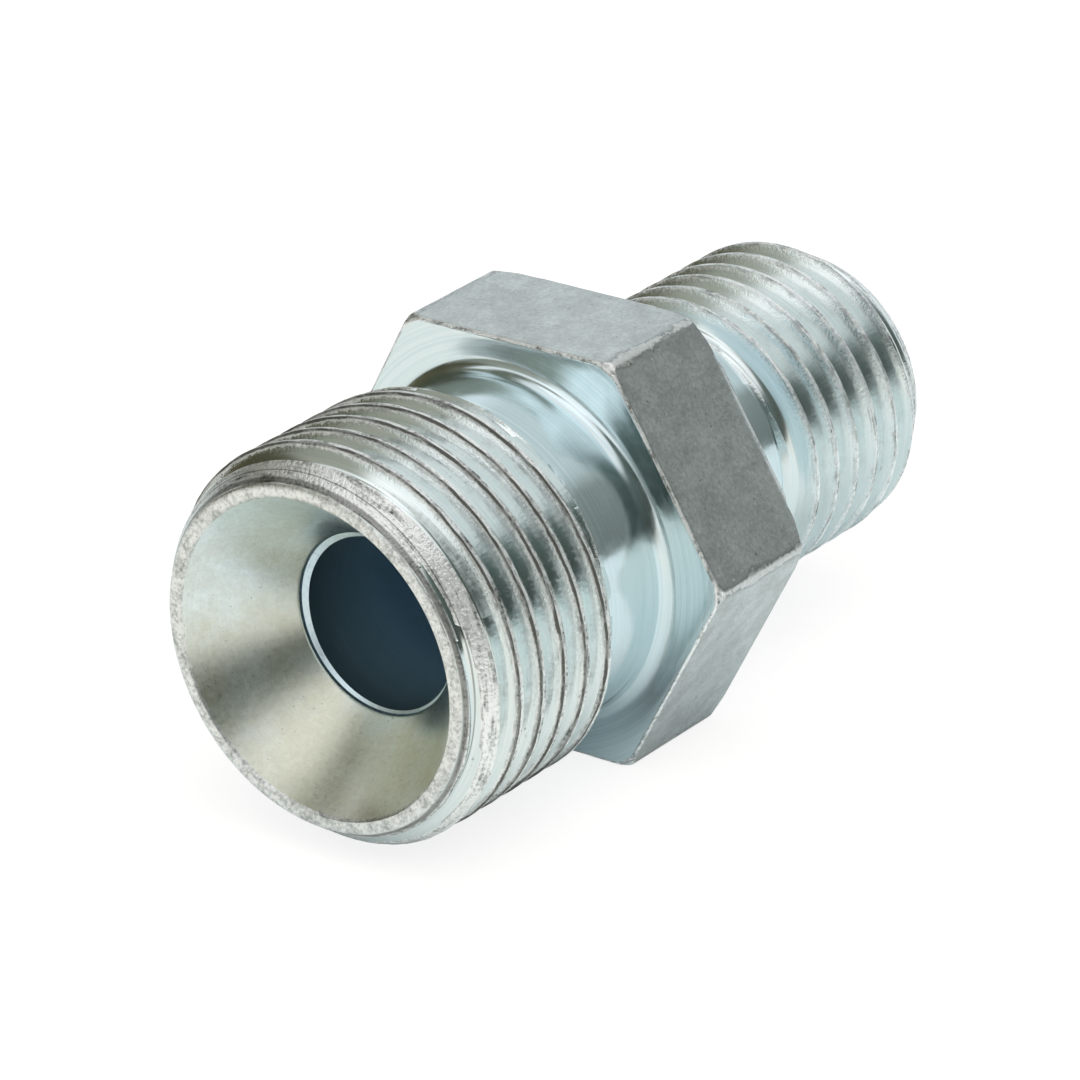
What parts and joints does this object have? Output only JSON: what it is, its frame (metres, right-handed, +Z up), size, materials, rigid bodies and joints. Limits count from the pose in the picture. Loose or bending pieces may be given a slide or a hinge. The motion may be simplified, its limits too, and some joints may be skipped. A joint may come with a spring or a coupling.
{
  "type": "reducing adapter",
  "caption": "Straight hydraulic reducing adapter: external thread of a large and a small size on either side of a hexagon, with conical seats and a through bore.",
  "frame": {"origin": "middle of the length, under the axis, on the plane that the lower hexagon flat rests on", "axes": "+X along the axis from the large end to the small end, +Z up from the flat that it lies on"},
  "size_m": [0.036, 0.022, 0.019],
  "materials": {
    "plated_steel": "satin"
  },
  "bodies": {
    "root": {"adapter_body": "plated_steel"}
  },
  "joints": []
}
